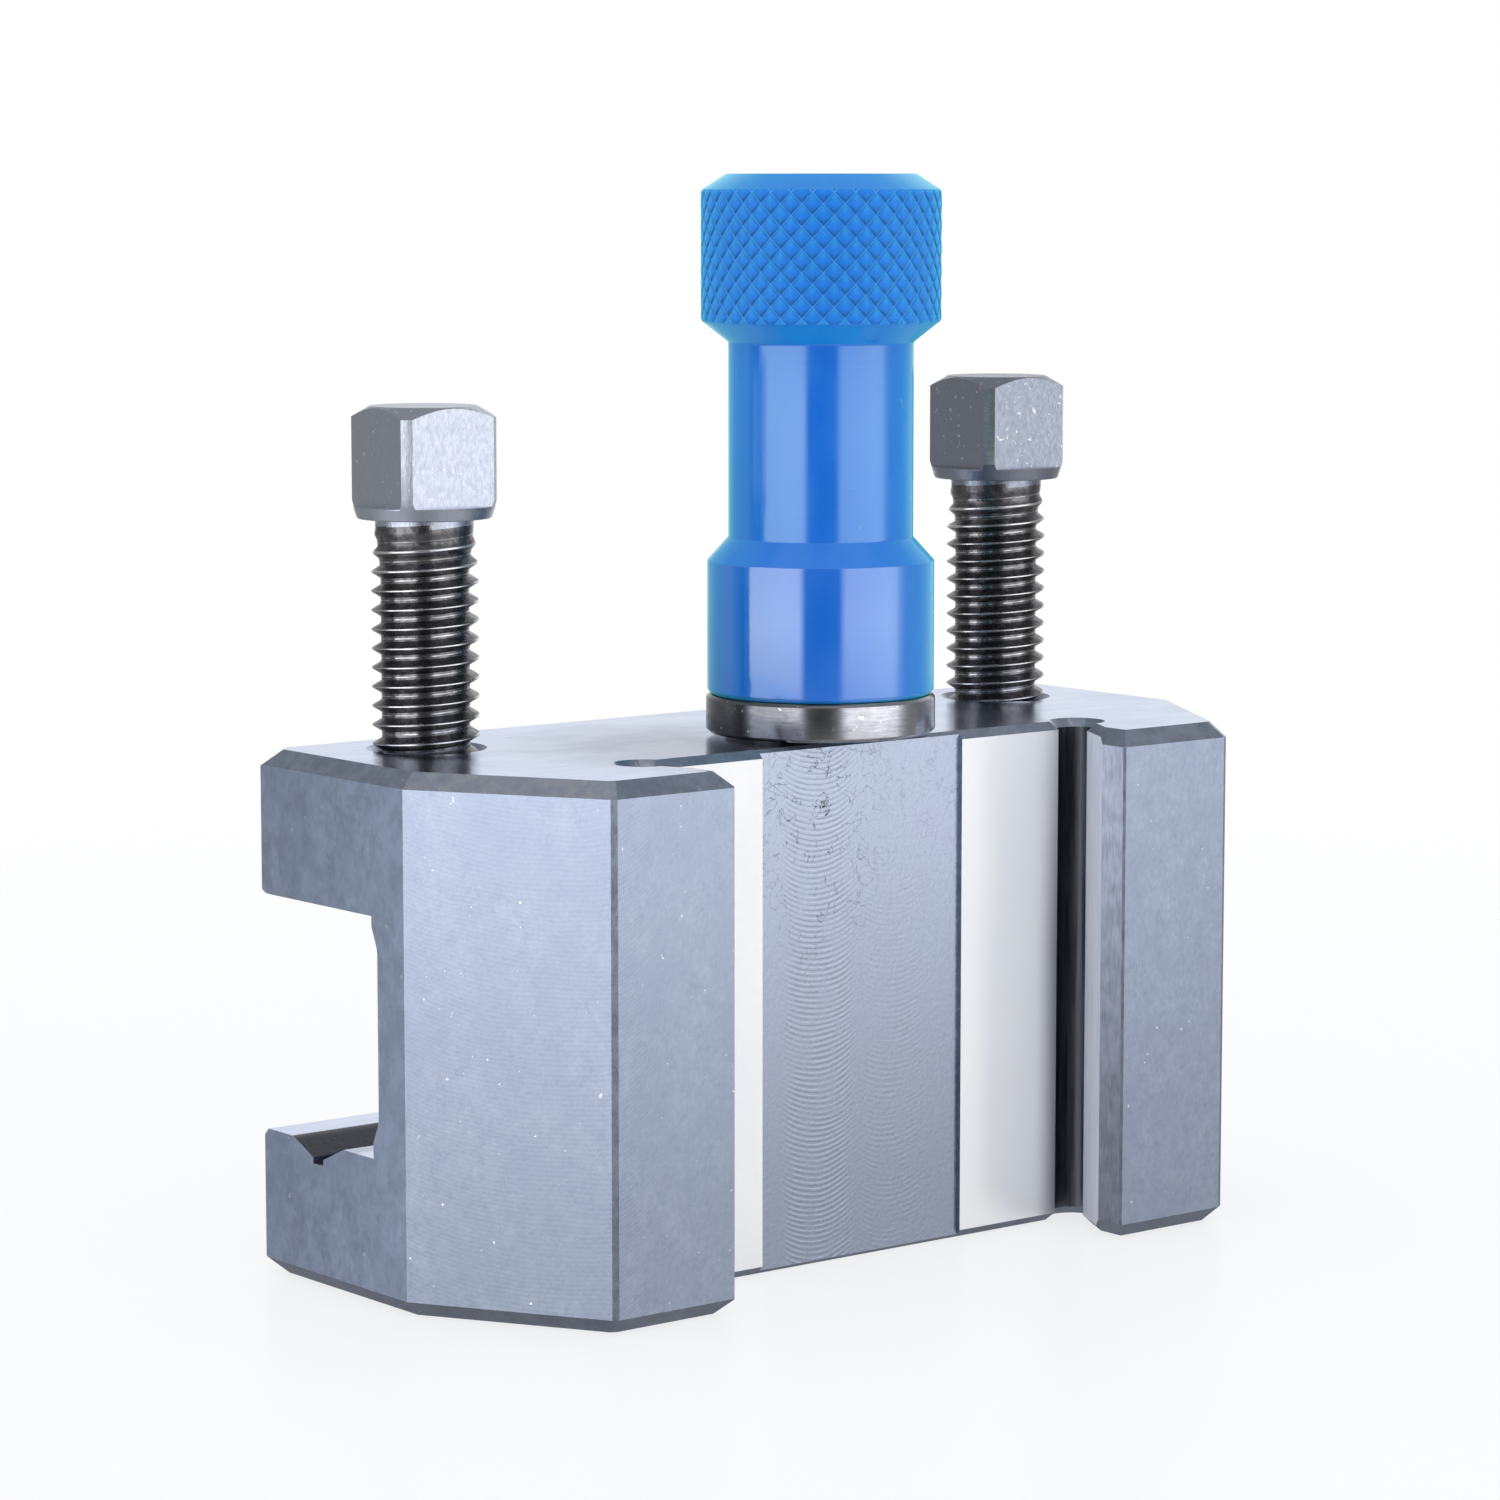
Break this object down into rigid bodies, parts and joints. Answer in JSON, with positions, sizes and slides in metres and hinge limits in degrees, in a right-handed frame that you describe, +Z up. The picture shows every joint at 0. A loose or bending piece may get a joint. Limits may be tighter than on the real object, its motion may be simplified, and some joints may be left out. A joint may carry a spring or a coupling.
{
  "type": "lathe tool holder",
  "caption": "Quick-change dovetail tool holder for a lathe, with a slot for square tools, square-head clamping screws and a knurled sleeve that sets its height.",
  "frame": {"origin": "middle of the holder's underside", "axes": "+Z up along the height stud; +X along the length of the tool slot; -Y out of the dovetail, towards the tool post; +Y out of the tool slot"},
  "size_m": [0.0914, 0.0398, 0.0981],
  "materials": {
    "holder_steel": "blued, milled all over, with the seat and the flanks of the dovetail ground bright",
    "screw_steel": "hardened, threads dark, head flats bright",
    "stud_steel": "plain, threaded",
    "blue_anodised": "blue anodised, turned, with a diamond knurl on the grip",
    "turned_steel": "turned",
    "spring_steel": "phosphated",
    "black_steel": "black oxide"
  },
  "bodies": {
    "holder": {"holder_body": "holder_steel", "height_stud": "stud_steel"},
    "left_screw": {"clamp_screw_left": "screw_steel"},
    "right_screw": {"clamp_screw_right": "screw_steel"},
    "collar": {"stop_collar": "turned_steel"},
    "sleeve": {"height_sleeve": "blue_anodised", "retaining_ring": "spring_steel"},
    "lock": {"lock_screw": "black_steel"}
  },
  "joints": [
    {"name": "left_clamp", "type": "slide", "parent": "holder", "child": "left_screw", "axis": [0, 0, 1], "range_m": [-0.02, 0.003]},
    {"name": "right_clamp", "type": "slide", "parent": "holder", "child": "right_screw", "axis": [0, 0, 1], "range_m": [-0.021, 0.002]},
    {"name": "height_travel", "type": "slide", "parent": "holder", "child": "collar", "axis": [0, 0, 1], "range_m": [0, 0.01977]},
    {"name": "sleeve_turn", "type": "hinge", "parent": "collar", "child": "sleeve", "pos_m": [0, -0.0037, 0.075], "axis": [0, 0, 1], "range_deg": [0, 5040]},
    {"name": "lock_travel", "type": "slide", "parent": "sleeve", "child": "lock", "axis": [0, 0, 1], "range_m": [0, 0.003]}
  ],
  "couplings": [
    {"joint": "height_travel", "follows": "sleeve_turn", "m_per_rad": 0.00022459}
  ]
}
